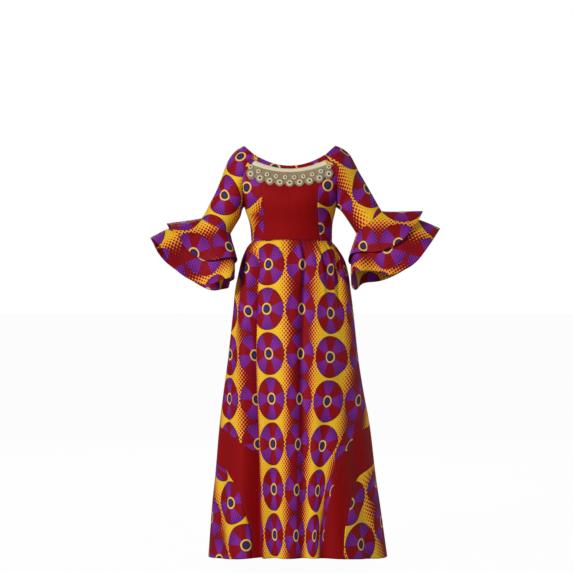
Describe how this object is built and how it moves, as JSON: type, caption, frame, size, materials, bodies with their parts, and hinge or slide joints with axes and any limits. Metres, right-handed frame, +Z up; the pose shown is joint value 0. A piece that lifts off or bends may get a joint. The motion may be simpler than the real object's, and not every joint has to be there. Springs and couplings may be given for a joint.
{
  "type": "ankara wax print dress",
  "caption": "Long wax print dress with a plain red bodice panel, lace neck trim, raglan sleeves with two-tier flounced cuffs and an A-line skirt with curved plain bands.",
  "frame": {"origin": "midway between the tops of the shoulders, where the wearer's shoulders carry the dress", "axes": "+Z up, the front faces -Y, +X towards the wearer's left"},
  "size_m": [1.0027, 0.4849, 1.4366],
  "materials": {
    "wax_print": "printed cotton, soft sheen",
    "plain_red": "plain dyed cotton",
    "lace": "cream and taupe lace"
  },
  "bodies": {
    "root": {"front_bodice_centre": "plain_red", "front_bodice_side_left": "wax_print", "front_bodice_side_right": "wax_print", "back_bodice": "wax_print", "sleeve_left": "wax_print", "sleeve_right": "wax_print", "cuff_upper_left": "wax_print", "cuff_upper_right": "wax_print", "cuff_lower_left": "wax_print", "cuff_lower_right": "wax_print", "front_skirt": "wax_print", "skirt_band_left": "plain_red", "skirt_band_right": "plain_red", "skirt_corner_left": "wax_print", "skirt_corner_right": "wax_print", "back_skirt": "wax_print", "neck_trim": "lace", "neck_binding": "wax_print"}
  },
  "joints": []
}
